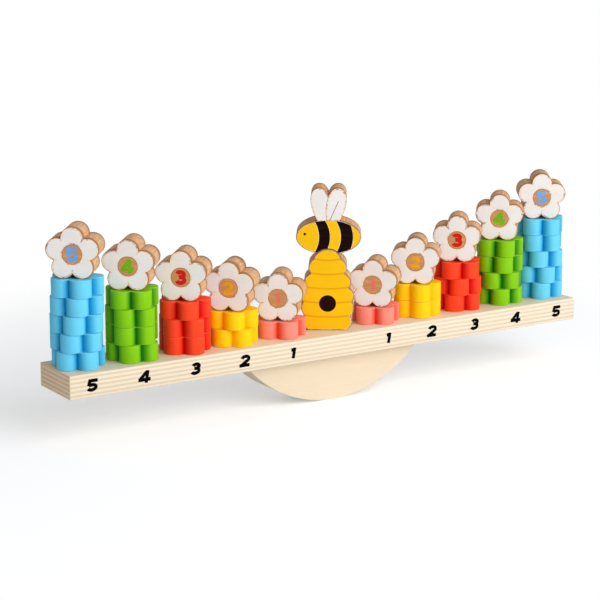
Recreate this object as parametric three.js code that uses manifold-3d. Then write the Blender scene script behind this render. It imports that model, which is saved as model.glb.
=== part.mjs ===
// A wooden balance game: a plank on a half-round rocker carries ten stacks of flower discs.
// A number daisy stands on every stack, and a bee sits on a beehive in the middle.
// Millimetres. +Z is up, +X runs along the plank and the numbered front of the plank faces -Y.
// The origin is the middle of the small flat that the rocker rests on.

import * as THREE from 'three';
import { mergeVertices } from 'three/addons/utils/BufferGeometryUtils.js';
import Module from 'manifold-3d';

// Flower blank: round petals that all the discs and daisies are cut to.
const PETALS = 5;
const FLOWER_REACH = 17.2;
const VALLEY_DEPTH = 4.95;
const PETAL_STEPS = 8;
const DISC_THICKNESS = 11.4;
const TOKEN_THICKNESS = 21;

// Clearances between pieces that rest on each other or sit in each other.
const SEAT_GAP = 0.1;
const NOTCH_GAP = 0.3;
const DOWEL_GAP = 0.3;
const STACK_GAP = 2.8;
const HIVE_GAP = 2.6;
const TOKEN_GAP = 1;

// Plank of birch plywood.
const PLANK_WIDTH = 42;
const PLANK_THICKNESS = 15.4;
const PLANK_CORNER = 2.5;
const PLANK_CORNER_STEPS = 3;
const PLANK_END_MARGIN = 13.7;

// Rocker under the plank's middle, and the two hidden dowels that hold it there.
const ROCKER_RADIUS = 90;
const ROCKER_DEPTH = 31.3;
const ROCKER_THICKNESS = 24;
const REST_FLAT = 6;
const ROCKER_STEPS = 7;
const DOWEL_RADIUS = 4;
const DOWEL_SPREAD = 35;
const DOWEL_IN_ROCKER = 14;
const DOWEL_ROOF = 5;
const DOWEL_STEPS = 20;

// Beehive: rolls of coiled straw from the foot up, under a round dome.
const HIVE_FOOT = 12.8;
const HIVE_ROLLS = [16.4, 17.7, 17.7, 15.6, 12.7];
const HIVE_ROLL_HEIGHT = 9.7;
const HIVE_CREASE = 1.3;
const DOME_HALF_WIDTH = 9.4;
const DOME_HEIGHT = 7;
const HIVE_STEPS = 8;
const HIVE_FACING = 34;
const HIVE_PLACE = new THREE.Vector2(3.3, 1.7);

// Bee: an oval body with two drop-shaped wings and a notch that sits over the hive's dome.
const BEE_LENGTH = 43.2;
const BEE_HEIGHT = 23.6;
const BEE_SHIFT = 0.5;
const BEE_STEPS = 20;
const NOTCH_DEPTH = 4;
const WING_LENGTH = 29.6;
const WING_ROOT_PULL = 8.1;
const WING_ROOT_RISE = 8.9;
const WING_TIP_PULL = 9.2;
const WING_ROOT = 4;
const WING_ROOT_SPREAD = 1.2;
const WING_LEAN = 12;
const WING_STEPS = 14;

// Colours of the bare wood and of the paints, and how rough each looks.
const PLYWOOD = 0xf5e3c4;
const BEECH = 0xe6bf93;
const DAISY_WHITE = 0xeeece8;
const HONEY = 0xf7bb08;
const PAINTS = { 1: 0xff8d84, 2: 0xfdc800, 3: 0xf3341d, 4: 0x6cba12, 5: 0x4fbdf0 };
const BARE_ROUGHNESS = 0.65;
const PAINT_ROUGHNESS = 0.45;

// The stacks as a child sets them out: how far each is nudged from its station, and each disc's turn
// in degrees from the bottom up. Facing is the turn of the daisy's front from the plank's front.
const STACKS = [
  { side: 'left', number: 1, nudge: [3, 0.5], turns: [-22], facing: 41 },
  { side: 'left', number: 2, nudge: [3, 0], turns: [-13, 30], facing: 44 },
  { side: 'left', number: 3, nudge: [4, -1], turns: [-14, -16, -35], facing: 41 },
  { side: 'left', number: 4, nudge: [3.5, -1], turns: [16, 0, 0, -13], facing: 40 },
  { side: 'left', number: 5, nudge: [3, 0.5], turns: [-11, 6, 18, 29, 41], facing: 38 },
  { side: 'right', number: 1, nudge: [3, 0.5], turns: [-15], facing: 44 },
  { side: 'right', number: 2, nudge: [1, 1.5], turns: [36, 35], facing: 40 },
  { side: 'right', number: 3, nudge: [-0.5, 2], turns: [9, 25, -4], facing: 40 },
  { side: 'right', number: 4, nudge: [-1, 2], turns: [24, -9, 34, -32], facing: 39 },
  { side: 'right', number: 5, nudge: [-1.5, 2], turns: [25, -30, 14, -8, -13], facing: 34 },
];

// Sizes that follow from the ones above.
const STATIONS = Math.max(...STACKS.map((stack) => stack.number));
const LEAST_FACING = Math.min(...STACKS.slice(1).map((stack, i) => (stack.facing + STACKS[i].facing) / 2));
const HIVE_REACH = Math.max(...HIVE_ROLLS);
const STATION_PITCH = Math.max(
  2 * FLOWER_REACH + STACK_GAP,
  clearDistance(2 * FLOWER_REACH, LEAST_FACING),
);
const FIRST_STATION = Math.max(
  HIVE_REACH + HIVE_GAP + FLOWER_REACH,
  clearDistance(HIVE_REACH + FLOWER_REACH, (HIVE_FACING + LEAST_FACING) / 2),
);
const LAST_STATION = FIRST_STATION + (STATIONS - 1) * STATION_PITCH;
const PLANK_LENGTH = 2 * (LAST_STATION + PLANK_END_MARGIN);
const PLANK_BOTTOM = ROCKER_DEPTH + SEAT_GAP;
const PLANK_TOP = PLANK_BOTTOM + PLANK_THICKNESS;
const DISC_STEP = DISC_THICKNESS + SEAT_GAP;
const VALLEY_TURN = Math.PI / PETALS;
const VALLEY_REACH = FLOWER_REACH - VALLEY_DEPTH;
const PETAL_RADIUS = (FLOWER_REACH ** 2 + VALLEY_REACH ** 2
  - 2 * FLOWER_REACH * VALLEY_REACH * Math.cos(VALLEY_TURN))
  / (2 * (FLOWER_REACH - VALLEY_REACH * Math.cos(VALLEY_TURN)));
const PETAL_CENTRE = FLOWER_REACH - PETAL_RADIUS;
const DAISY_STAND = PETAL_CENTRE * Math.cos(VALLEY_TURN) + PETAL_RADIUS;
const HIVE_HEIGHT = HIVE_ROLLS.length * HIVE_ROLL_HEIGHT + DOME_HEIGHT;
const DOME_RADIUS = (DOME_HALF_WIDTH ** 2 + DOME_HEIGHT ** 2) / (2 * DOME_HEIGHT);
const BEE_MIDDLE = HIVE_HEIGHT + NOTCH_GAP - NOTCH_DEPTH + BEE_HEIGHT / 2;

const wasm = await Module();
wasm.setup();

// How far apart along the plank two tokens stand clear of each other when both are turned alike:
// either one passes behind the other, or they stand side by side.
function clearDistance(meanWidth, degrees) {
  const turn = THREE.MathUtils.degToRad(degrees);
  return Math.min(
    (TOKEN_THICKNESS + TOKEN_GAP) / Math.sin(turn),
    (meanWidth + TOKEN_GAP) / Math.cos(turn),
  );
}

function solid(geometry) {
  const bare = geometry.index ? geometry.toNonIndexed() : geometry.clone();
  bare.deleteAttribute('normal');
  bare.deleteAttribute('uv');
  const merged = mergeVertices(bare);
  return new wasm.Manifold(new wasm.Mesh({
    numProp: 3,
    vertProperties: new Float32Array(merged.attributes.position.array),
    triVerts: new Uint32Array(merged.index.array),
  }));
}

function geometryOf(manifold) {
  const mesh = manifold.getMesh();
  const geometry = new THREE.BufferGeometry();
  geometry.setAttribute('position', new THREE.BufferAttribute(mesh.vertProperties, mesh.numProp));
  geometry.setIndex(new THREE.BufferAttribute(mesh.triVerts, 1));
  geometry.computeVertexNormals();
  return geometry;
}

function piece(name, geometry, color, roughness) {
  const material = new THREE.MeshStandardMaterial({ color, roughness, metalness: 0 });
  const mesh = new THREE.Mesh(geometry, material);
  mesh.name = name;
  return mesh;
}

function extruded(shape, depth, curveSegments) {
  return new THREE.ExtrudeGeometry(shape, { depth, bevelEnabled: false, curveSegments });
}

// Stands a flat outline upright: its y axis becomes +Z and its front faces -Y, centred on its thickness.
function upright(shape, thickness, curveSegments) {
  const geometry = extruded(shape, thickness, curveSegments);
  geometry.translate(0, 0, -thickness / 2);
  geometry.rotateX(Math.PI / 2);
  return geometry;
}

// Turns a piece about the vertical so that its front looks towards -X as well as -Y.
function face(object, degrees) {
  object.rotation.z = -THREE.MathUtils.degToRad(degrees);
}

function peg(radius, length, bottom) {
  const geometry = new THREE.CylinderGeometry(radius, radius, length, DOWEL_STEPS);
  geometry.rotateX(Math.PI / 2);
  geometry.translate(0, 0, bottom + length / 2);
  return geometry;
}

// Plank and rocker, joined by dowels that end blind in both.
const DOWEL_BOTTOM = ROCKER_DEPTH - DOWEL_IN_ROCKER;
const DOWEL_TOP = PLANK_TOP - DOWEL_ROOF;
const DOWEL_PLACES = { left: -DOWEL_SPREAD, right: DOWEL_SPREAD };

function withSockets(geometry) {
  let body = solid(geometry);
  const length = DOWEL_TOP - DOWEL_BOTTOM + 2 * DOWEL_GAP;
  for (const x of Object.values(DOWEL_PLACES)) {
    const socket = peg(DOWEL_RADIUS + DOWEL_GAP, length, DOWEL_BOTTOM - DOWEL_GAP);
    body = body.subtract(solid(socket.translate(x, 0, 0)));
  }
  return geometryOf(body);
}

function plankGeometry() {
  const x = PLANK_LENGTH / 2;
  const y = PLANK_WIDTH / 2;
  const r = PLANK_CORNER;
  const shape = new THREE.Shape();
  shape.moveTo(r - x, -y);
  shape.lineTo(x - r, -y);
  shape.quadraticCurveTo(x, -y, x, r - y);
  shape.lineTo(x, y - r);
  shape.quadraticCurveTo(x, y, x - r, y);
  shape.lineTo(r - x, y);
  shape.quadraticCurveTo(-x, y, -x, y - r);
  shape.lineTo(-x, r - y);
  shape.quadraticCurveTo(-x, -y, r - x, -y);
  const geometry = extruded(shape, PLANK_THICKNESS, PLANK_CORNER_STEPS);
  return geometry.translate(0, 0, PLANK_BOTTOM);
}

function rockerGeometry() {
  const flatTurn = Math.asin(REST_FLAT / 2 / ROCKER_RADIUS);
  const centre = ROCKER_RADIUS * Math.cos(flatTurn);
  const endTurn = Math.acos((centre - ROCKER_DEPTH) / ROCKER_RADIUS);
  const down = -Math.PI / 2;
  const shape = new THREE.Shape();
  shape.absarc(0, centre, ROCKER_RADIUS, down - endTurn, down - flatTurn);
  shape.absarc(0, centre, ROCKER_RADIUS, down + flatTurn, down + endTurn);
  return upright(shape, ROCKER_THICKNESS, ROCKER_STEPS);
}

// Flower blank with its first petal on +X. Each petal is an arc that runs from valley to valley.
function flowerShape() {
  const sweep = Math.atan2(
    VALLEY_REACH * Math.sin(VALLEY_TURN),
    VALLEY_REACH * Math.cos(VALLEY_TURN) - PETAL_CENTRE,
  );
  const points = [];
  for (let petal = 0; petal < PETALS; petal++) {
    const turn = petal * 2 * VALLEY_TURN;
    const middle = new THREE.Vector2(PETAL_CENTRE, 0).rotateAround(new THREE.Vector2(), turn);
    for (let step = 0; step < PETAL_STEPS; step++) {
      const angle = turn + sweep * ((2 * step) / PETAL_STEPS - 1);
      points.push(new THREE.Vector2(PETAL_RADIUS, 0).rotateAround(new THREE.Vector2(), angle).add(middle));
    }
  }
  return new THREE.Shape(points);
}

// Half-round rolls one above the other, then the dome, mirrored about the hive's middle line.
function hiveShape() {
  const creases = [HIVE_FOOT];
  HIVE_ROLLS.slice(1).forEach((reach, below) => {
    creases.push(Math.min(reach, HIVE_ROLLS[below]) - HIVE_CREASE);
  });
  creases.push(DOME_HALF_WIDTH);
  const control = (roll) => 2 * HIVE_ROLLS[roll] - (creases[roll] + creases[roll + 1]) / 2;
  const shape = new THREE.Shape();
  shape.moveTo(-creases[0], 0);
  shape.lineTo(creases[0], 0);
  for (let roll = 0; roll < HIVE_ROLLS.length; roll++) {
    const bottom = roll * HIVE_ROLL_HEIGHT;
    const middle = bottom + HIVE_ROLL_HEIGHT / 2;
    shape.quadraticCurveTo(control(roll), middle, creases[roll + 1], bottom + HIVE_ROLL_HEIGHT);
  }
  const domeCentre = HIVE_HEIGHT - DOME_RADIUS;
  const domeTurn = Math.atan2(DOME_HALF_WIDTH, DOME_RADIUS - DOME_HEIGHT);
  const up = Math.PI / 2;
  shape.absarc(0, domeCentre, DOME_RADIUS, up - domeTurn, up + domeTurn);
  for (let roll = HIVE_ROLLS.length - 1; roll >= 0; roll--) {
    const bottom = roll * HIVE_ROLL_HEIGHT;
    const middle = bottom + HIVE_ROLL_HEIGHT / 2;
    shape.quadraticCurveTo(-control(roll), middle, -creases[roll], bottom);
  }
  return shape;
}

// One wing, standing on its root with its tip up, narrow at the root and round at the tip.
function wingShape() {
  const shape = new THREE.Shape();
  shape.moveTo(0, 0);
  shape.bezierCurveTo(WING_ROOT_PULL, WING_ROOT_RISE, WING_TIP_PULL, WING_LENGTH, 0, WING_LENGTH);
  shape.bezierCurveTo(-WING_TIP_PULL, WING_LENGTH, -WING_ROOT_PULL, WING_ROOT_RISE, 0, 0);
  return shape;
}

// The bee stands on the hive's middle line: the body is moved sideways and the notch stays in the middle.
function beeGeometry() {
  const body = new THREE.Shape();
  body.absellipse(BEE_SHIFT, BEE_MIDDLE, BEE_LENGTH / 2, BEE_HEIGHT / 2, 0, 2 * Math.PI);
  let bee = solid(upright(body, TOKEN_THICKNESS, BEE_STEPS));
  for (const side of [-1, 1]) {
    const wing = extruded(wingShape(), TOKEN_THICKNESS, WING_STEPS);
    wing.translate(0, 0, -TOKEN_THICKNESS / 2);
    wing.rotateZ(-side * THREE.MathUtils.degToRad(WING_LEAN));
    wing.rotateX(Math.PI / 2);
    wing.translate(BEE_SHIFT + side * WING_ROOT_SPREAD, 0, BEE_MIDDLE + WING_ROOT);
    bee = bee.add(solid(wing));
  }
  const notch = new THREE.Shape();
  notch.absarc(0, HIVE_HEIGHT - DOME_RADIUS, DOME_RADIUS + NOTCH_GAP, 0, 2 * Math.PI);
  return geometryOf(bee.subtract(solid(upright(notch, 2 * TOKEN_THICKNESS, BEE_STEPS))));
}

const game = new THREE.Group();
game.add(piece('plank', withSockets(plankGeometry()), PLYWOOD, BARE_ROUGHNESS));
game.add(piece('rocker', withSockets(rockerGeometry()), PLYWOOD, BARE_ROUGHNESS));
for (const [side, x] of Object.entries(DOWEL_PLACES)) {
  const rod = peg(DOWEL_RADIUS, DOWEL_TOP - DOWEL_BOTTOM, DOWEL_BOTTOM);
  const dowel = piece(`dowel_${side}`, rod, BEECH, BARE_ROUGHNESS);
  dowel.position.x = x;
  game.add(dowel);
}

// Stacks: the discs lie flat on each other and the daisy stands on its two lower petals on the top one.
const flower = flowerShape();
for (const { side, number, nudge, turns, facing } of STACKS) {
  const stack = new THREE.Group();
  const station = FIRST_STATION + (number - 1) * STATION_PITCH;
  const direction = side === 'left' ? -1 : 1;
  stack.position.set(direction * station + nudge[0], nudge[1], PLANK_TOP);
  turns.forEach((turn, level) => {
    const name = `disc_${side}${number}_${level + 1}`;
    const disc = piece(name, extruded(flower, DISC_THICKNESS), PAINTS[number], PAINT_ROUGHNESS);
    disc.position.z = level * DISC_STEP + SEAT_GAP;
    disc.rotation.z = THREE.MathUtils.degToRad(turn);
    stack.add(disc);
  });
  const blank = extruded(flower, TOKEN_THICKNESS);
  blank.rotateZ(Math.PI / 2);
  blank.translate(0, DAISY_STAND, -TOKEN_THICKNESS / 2);
  blank.rotateX(Math.PI / 2);
  const daisy = piece(`daisy_${side}${number}`, blank, DAISY_WHITE, PAINT_ROUGHNESS);
  daisy.position.z = turns.length * DISC_STEP + SEAT_GAP;
  face(daisy, facing);
  stack.add(daisy);
  game.add(stack);
}

// Hive in the middle of the plank, with the bee on its dome.
const middle = new THREE.Group();
middle.position.set(HIVE_PLACE.x, HIVE_PLACE.y, PLANK_TOP + SEAT_GAP);
face(middle, HIVE_FACING);
middle.add(piece('hive', upright(hiveShape(), TOKEN_THICKNESS, HIVE_STEPS), HONEY, PAINT_ROUGHNESS));
middle.add(piece('bee', beeGeometry(), HONEY, PAINT_ROUGHNESS));
game.add(middle);

export default game;
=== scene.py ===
# A wooden balance game: a plywood plank on a half-round rocker, with stacks of painted flower discs,
# number daisies, a beehive and a bee. Metres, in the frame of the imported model: +Z up, front towards -Y.
# The sections follow the order in which the game is put together.

import bmesh
import bpy
import math
from mathutils import Matrix, Vector
from mathutils.geometry import delaunay_2d_cdt


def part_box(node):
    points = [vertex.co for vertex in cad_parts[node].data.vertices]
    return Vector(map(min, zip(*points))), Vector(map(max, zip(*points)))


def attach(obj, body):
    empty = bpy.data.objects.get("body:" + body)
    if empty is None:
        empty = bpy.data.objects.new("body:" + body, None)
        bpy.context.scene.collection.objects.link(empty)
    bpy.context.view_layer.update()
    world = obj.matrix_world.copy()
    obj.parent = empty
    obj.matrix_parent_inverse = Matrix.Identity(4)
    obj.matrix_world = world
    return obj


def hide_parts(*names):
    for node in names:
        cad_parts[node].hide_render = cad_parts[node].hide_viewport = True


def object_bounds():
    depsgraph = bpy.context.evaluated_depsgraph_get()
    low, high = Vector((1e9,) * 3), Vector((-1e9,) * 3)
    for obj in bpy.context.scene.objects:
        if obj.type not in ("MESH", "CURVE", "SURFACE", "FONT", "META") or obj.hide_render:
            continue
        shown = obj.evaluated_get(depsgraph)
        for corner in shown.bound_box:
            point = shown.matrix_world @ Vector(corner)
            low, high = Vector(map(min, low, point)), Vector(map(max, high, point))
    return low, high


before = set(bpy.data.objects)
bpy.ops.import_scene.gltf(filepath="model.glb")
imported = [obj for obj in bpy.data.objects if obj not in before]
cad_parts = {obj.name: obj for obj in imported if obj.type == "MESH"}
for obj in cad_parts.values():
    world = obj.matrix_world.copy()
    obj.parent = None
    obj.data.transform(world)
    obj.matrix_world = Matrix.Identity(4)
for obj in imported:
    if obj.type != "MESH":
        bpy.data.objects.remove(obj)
cad_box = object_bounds()

# Plank: a board of birch plywood, sawn square, with rounded corners and eased edges.
# The top is a face veneer with long grain, and the edges show the plies as pale and tan lines.
# Two blind holes in its underside take the rocker's dowels.
PLANK_CORNER = 0.0025
CORNER_STEPS = 8
EASED_EDGE = 0.0006
EASED_STEPS = 3
SHARP_EDGE = math.radians(60)
SOCKET_GAP = 0.0003
SOCKET_SIDES = 48
PLANK_PLIES = 11
VENEER = (232, 214, 186)
LONG_PLY = (236, 222, 200)
CROSS_PLY = (222, 201, 168)
END_PLY = (226, 196, 158)
END_CROSS_PLY = (250, 228, 195)
GLUE_LINE = (176, 136, 94)
# In plies: how far they wander, where one gives way to the next, how softly, and the glue line's width.
PLY_WANDER = 0.3
PLY_EDGE = 0.35
PLY_BLUR = 0.11
GLUE_WIDTH = 0.12
# How strongly each mark of the wood shows, and the relief of its sanded surface.
GLUE_SHARE = 0.2
SIDE_PITS = 0.06
END_PITS = 0.36
GRAIN_SHARE = 0.22
PALE_SHARE = 0.3
PORE_SHARE = 0.25
RAISED_GRAIN = 0.00004
PORE_DEPTH = 0.00003


def paint_mix(red, green, blue):
    """A colour as seen on screen, 0 to 255, as the linear colour that a shader takes."""
    shares = [value / 255 for value in (red, green, blue)]
    return [s / 12.92 if s <= 0.04045 else ((s + 0.055) / 1.055) ** 2.4 for s in shares] + [1]


def wire(tree, socket, value):
    """Links a socket to another one, or sets its value."""
    if isinstance(value, bpy.types.NodeSocket):
        tree.links.new(value, socket)
    else:
        socket.default_value = value


def put(tree, kind, inputs, **settings):
    """Adds a shader node with its settings and inputs."""
    made = tree.nodes.new("ShaderNode" + kind)
    for name, value in settings.items():
        setattr(made, name, value)
    for name, value in inputs.items():
        wire(tree, made.inputs[name], value)
    return made


def calc(tree, operation, *values):
    """A Math node's result."""
    return put(tree, "Math", dict(enumerate(values)), operation=operation).outputs[0]


def weaken(tree, value, share):
    """A share of a value."""
    return calc(tree, "MULTIPLY", value, share)


def fade(tree, value, low, high):
    """0 up to low, 1 from high on, and a smooth step between them."""
    ends = {"Value": value, "From Min": low, "From Max": high}
    return put(tree, "MapRange", ends, interpolation_type="SMOOTHSTEP").outputs["Result"]


def blend(tree, share, first, second, how="MIX"):
    """Two colours mixed by a share."""
    colours = {0: share, 6: first, 7: second}
    return put(tree, "Mix", colours, data_type="RGBA", blend_type=how).outputs[2]


def speckle(tree, place, stretch, detail=2.0):
    """Noise with its own count per metre in each direction, from 0 to 1."""
    scaled = put(tree, "VectorMath", {0: place, 1: stretch}, operation="MULTIPLY").outputs[0]
    return put(tree, "TexNoise", {"Vector": scaled, "Scale": 1.0, "Detail": detail}).outputs["Fac"]


def node_group(name, inputs, outputs):
    """A shader node group with named sockets: its tree, what goes in and what comes out."""
    tree = bpy.data.node_groups.new(name, "ShaderNodeTree")
    for sockets, side in ((inputs, "INPUT"), (outputs, "OUTPUT")):
        for socket, kind in sockets.items():
            tree.interface.new_socket(name=socket, in_out=side, socket_type="NodeSocket" + kind)
    source = tree.nodes.new("NodeGroupInput").outputs
    return tree, source, tree.nodes.new("NodeGroupOutput").inputs


SURFACE_OUTPUTS = {"Color": "Color", "Roughness": "Float", "Height": "Float"}


def rough(tree, made, noise, least, most):
    """Lets a noise move a group's roughness between two values."""
    wire(tree, made["Roughness"], calc(tree, "MULTIPLY_ADD", noise, most - least, least))


def surface(name, group, inputs, gloss=0.3):
    """A material whose colour, roughness and height come from a node group. inputs fills its sockets."""
    material = bpy.data.materials.new(name)
    material.use_nodes = True
    tree = material.node_tree
    shader = tree.nodes["Principled BSDF"]
    source = put(tree, "Group", {}, node_tree=group)
    for socket, value in inputs(tree).items():
        wire(tree, source.inputs[socket], value)
    wire(tree, shader.inputs["Base Color"], source.outputs["Color"])
    wire(tree, shader.inputs["Roughness"], source.outputs["Roughness"])
    wire(tree, shader.inputs["Specular IOR Level"], gloss)
    relief = put(tree, "Bump", {"Strength": 1.0, "Distance": 1.0, "Height": source.outputs["Height"]})
    wire(tree, shader.inputs["Normal"], relief.outputs["Normal"])
    return material


def plywood_group():
    """Sanded plywood. Place runs along the grain, across it and through the sheet, in plies."""
    inputs = {"Place": "Vector", "Ply": "Float", "Veneer": "Float", "End": "Float"}
    tree, given, made = node_group("plywood", inputs, SURFACE_OUTPUTS)
    place = given["Place"]
    fine = speckle(tree, place, (30, 900, 900), 4.0)
    broad = speckle(tree, place, (5, 70, 70), 2.0)
    pores = fade(tree, speckle(tree, place, (160, 2600, 2600), 1.0), 0.66, 0.78)
    wander = weaken(tree, calc(tree, "SUBTRACT", speckle(tree, place, (25, 25, 0)), 0.5), PLY_WANDER)
    ply = calc(tree, "ADD", given["Ply"], wander)
    wave = calc(tree, "PINGPONG", calc(tree, "ADD", ply, 0.5), 1.0)
    long_ply = fade(tree, wave, PLY_EDGE - PLY_BLUR, PLY_EDGE + PLY_BLUR)
    open_grain = fade(tree, speckle(tree, place, (1500, 1500, 1500), 2.0), 0.45, 0.75)
    cross = blend(tree, given["End"], paint_mix(*CROSS_PLY), paint_mix(*END_CROSS_PLY))
    straight = blend(tree, given["End"], paint_mix(*LONG_PLY), paint_mix(*END_PLY))
    edge = blend(tree, long_ply, cross, straight)
    glue = fade(tree, calc(tree, "ABSOLUTE", calc(tree, "SUBTRACT", wave, PLY_EDGE)), GLUE_WIDTH, 0.0)
    edge = blend(tree, weaken(tree, glue, GLUE_SHARE), edge, paint_mix(*GLUE_LINE))
    pits = calc(tree, "MULTIPLY_ADD", given["End"], END_PITS - SIDE_PITS, SIDE_PITS)
    edge = blend(tree, calc(tree, "MULTIPLY", open_grain, pits), edge, paint_mix(*GLUE_LINE))
    colour = blend(tree, given["Veneer"], edge, paint_mix(*VENEER))
    streaks = weaken(tree, fade(tree, fine, 0.35, 0.8), GRAIN_SHARE)
    colour = blend(tree, streaks, colour, paint_mix(*CROSS_PLY))
    paler = weaken(tree, fade(tree, broad, 0.4, 0.8), PALE_SHARE)
    colour = blend(tree, paler, colour, paint_mix(*LONG_PLY))
    open_pores = calc(tree, "MULTIPLY", pores, weaken(tree, given["Veneer"], PORE_SHARE))
    colour = blend(tree, open_pores, colour, paint_mix(*GLUE_LINE))
    wire(tree, made["Color"], colour)
    rough(tree, made, fine, least=0.5, most=0.66)
    sunk = weaken(tree, calc(tree, "ADD", pores, glue), -PORE_DEPTH)
    wire(tree, made["Height"], calc(tree, "MULTIPLY_ADD", fine, RAISED_GRAIN, sunk))
    return tree


PLYWOOD = plywood_group()


def turned_to(tree, axis):
    """How far the surface faces along an axis, either way."""
    normal = put(tree, "TexCoord", {}).outputs["Normal"]
    along = put(tree, "SeparateXYZ", {"Vector": normal}).outputs[axis]
    return fade(tree, calc(tree, "ABSOLUTE", along), 0.6, 0.8)


def plywood_sheet(name, low, high, through, plies):
    """Plywood for a board with its grain along X. through is the axis that crosses the plies."""
    def inputs(tree):
        place = put(tree, "TexCoord", {}).outputs["Object"]
        parts = put(tree, "SeparateXYZ", {"Vector": place}).outputs
        axis = "XYZ".index(through)
        depth = calc(tree, "SUBTRACT", parts[through], low[axis])
        ply = calc(tree, "DIVIDE", depth, (high[axis] - low[axis]) / plies)
        return {"Place": place, "Ply": ply, "Veneer": turned_to(tree, through), "End": turned_to(tree, "X")}
    return surface(name, PLYWOOD, inputs)


def deselect():
    """Leaves nothing selected for the next operator."""
    bpy.ops.object.select_all(action="DESELECT")


def pick(piece):
    """Selects one piece alone and makes it the active one."""
    deselect()
    piece.select_set(True)
    bpy.context.view_layer.objects.active = piece


def keep_place():
    """Puts the active piece's place, turn and size into its mesh."""
    bpy.ops.object.transform_apply(location=True, rotation=True, scale=True)


def apply(piece, kind, **settings):
    """Adds a modifier to a piece and applies it."""
    bpy.context.view_layer.objects.active = piece
    modifier = piece.modifiers.new(kind, kind)
    for name, value in settings.items():
        setattr(modifier, name, value)
    bpy.ops.object.modifier_apply(modifier=modifier.name)


def ease(piece, width, steps=EASED_STEPS):
    """Takes the sharpness off a piece's edges."""
    apply(piece, "BEVEL", width=width, segments=steps, limit_method="ANGLE", angle_limit=SHARP_EDGE)


def smooth(piece, degrees=35):
    """Shades a piece smoothly up to an angle between its faces."""
    pick(piece)
    bpy.ops.object.shade_smooth_by_angle(angle=math.radians(degrees))


def finished(piece, name, body, slot, *nodes):
    """Names a piece, lets it move with a body and stand for CAD nodes."""
    piece.name = name
    piece.data.name = name
    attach(piece, body)
    if nodes:
        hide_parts(*nodes)
    return piece


def drill_sockets(board):
    """Cuts the blind holes of both dowels out of a board."""
    for dowel in ("dowel_left", "dowel_right"):
        low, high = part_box(dowel)
        middle = (low + high) / 2
        deselect()
        bpy.ops.mesh.primitive_cylinder_add(
            vertices=SOCKET_SIDES,
            radius=(high.x - low.x) / 2 + SOCKET_GAP,
            depth=high.z - low.z + 2 * SOCKET_GAP,
            location=middle,
        )
        drill = bpy.context.object
        keep_place()
        apply(board, "BOOLEAN", operation="DIFFERENCE", solver="EXACT", object=drill)
        bpy.data.objects.remove(drill)


plank_low, plank_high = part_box("plank")
deselect()
bpy.ops.mesh.primitive_cube_add(size=1, location=(plank_low + plank_high) / 2)
plank = bpy.context.object
plank.scale = plank_high - plank_low
keep_place()
bpy.ops.object.mode_set(mode="EDIT")
bpy.ops.mesh.select_all(action="DESELECT")
board = bmesh.from_edit_mesh(plank.data)
for edge in board.edges:
    edge.select = abs(edge.verts[0].co.z - edge.verts[1].co.z) > EASED_EDGE
board.select_flush_mode()
bmesh.update_edit_mesh(plank.data)
bpy.ops.mesh.bevel(offset=PLANK_CORNER, segments=CORNER_STEPS, affect="EDGES")
bpy.ops.object.mode_set(mode="OBJECT")
ease(plank, EASED_EDGE)
drill_sockets(plank)
plank.data.materials.append(plywood_sheet("plank_plywood", plank_low, plank_high, "Z", PLANK_PLIES))
smooth(plank)
finished(plank, "plank_board", "base", "plywood", "plank")

# Numbers of the stations: flat black ink, printed on the plank's front edge in a bold, slanted hand.
# Each number is drawn as pen strokes of even width, laid over each other and filled as one shape.
NUMBER_HEIGHT = 0.0080
NUMBER_STRETCH = 1.22
NUMBER_SLANT = 0.17
INK_DEPTH = 0.00005
PEN_WIDTH = 0.285
STEM_WIDTH = 0.3
ARC_STEPS = 28
# When points or faces count as one, and the kind of fill that keeps to the inside of the shapes.
SAME_POINT = 1e-8
SAME_PLANE = math.radians(0.01)
INSIDE_ONLY = 1
# Places along the plank, and the step by which each piece's grain is moved on from the last one's.
STATIONS = 5
NUMBER_PITCH = 0.0366
FIRST_NUMBER = 0.0381
NUMBER_SHIFT = -0.0006
BATCH_STEP = 0.37
INK = (3, 2, 2)
INK_GLOSS = 0.03
# Satin paint: its gloss, how strongly each mark in it shows, and its relief.
PAINT_GLOSS = 0.14
MOTTLE_SHARE = 0.14
GRAIN_UNDER_PAINT = 0.08
STREAK_SHARE = 0.5
RUBBED_PAINT = (255, 250, 240)
RUBBED_SHARE = 0.06
PAINT_GRAIN = 0.000008
PAINT_PEEL = 0.000002


def arc(middle, wide, high, start, end):
    """Points on an oval stretch, with its angles in degrees."""
    turns = [math.radians(start + (end - start) * step / ARC_STEPS) for step in range(ARC_STEPS + 1)]
    return [(middle[0] + wide * math.cos(t), middle[1] + high * math.sin(t)) for t in turns]


# Strokes for a number one unit high that stands on its base line, centred on its middle.
DIGIT_STROKES = {
    1: [[(-0.17, 0.76), (0.08, 0.8)], [(0.08, 0.95), (0.08, 0.05)]],
    2: [arc((0, 0.66), 0.265, 0.207, 172, -38) + [(-0.26, 0.13)], [(-0.39, 0.132), (0.39, 0.132)]],
    3: [
        arc((-0.01, 0.7), 0.24, 0.167, 162, -90) + [(-0.12, 0.52)],
        arc((-0.01, 0.33), 0.27, 0.197, 90, -158),
    ],
    4: [[(0.09, 0.92), (-0.33, 0.32)], [(-0.45, 0.28), (0.44, 0.28)], [(0.15, 1), (0.15, 0)]],
    5: [[(0.32, 0.868), (-0.23, 0.868), (-0.27, 0.46)], arc((-0.02, 0.335), 0.285, 0.202, 145, -158)],
}


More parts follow.
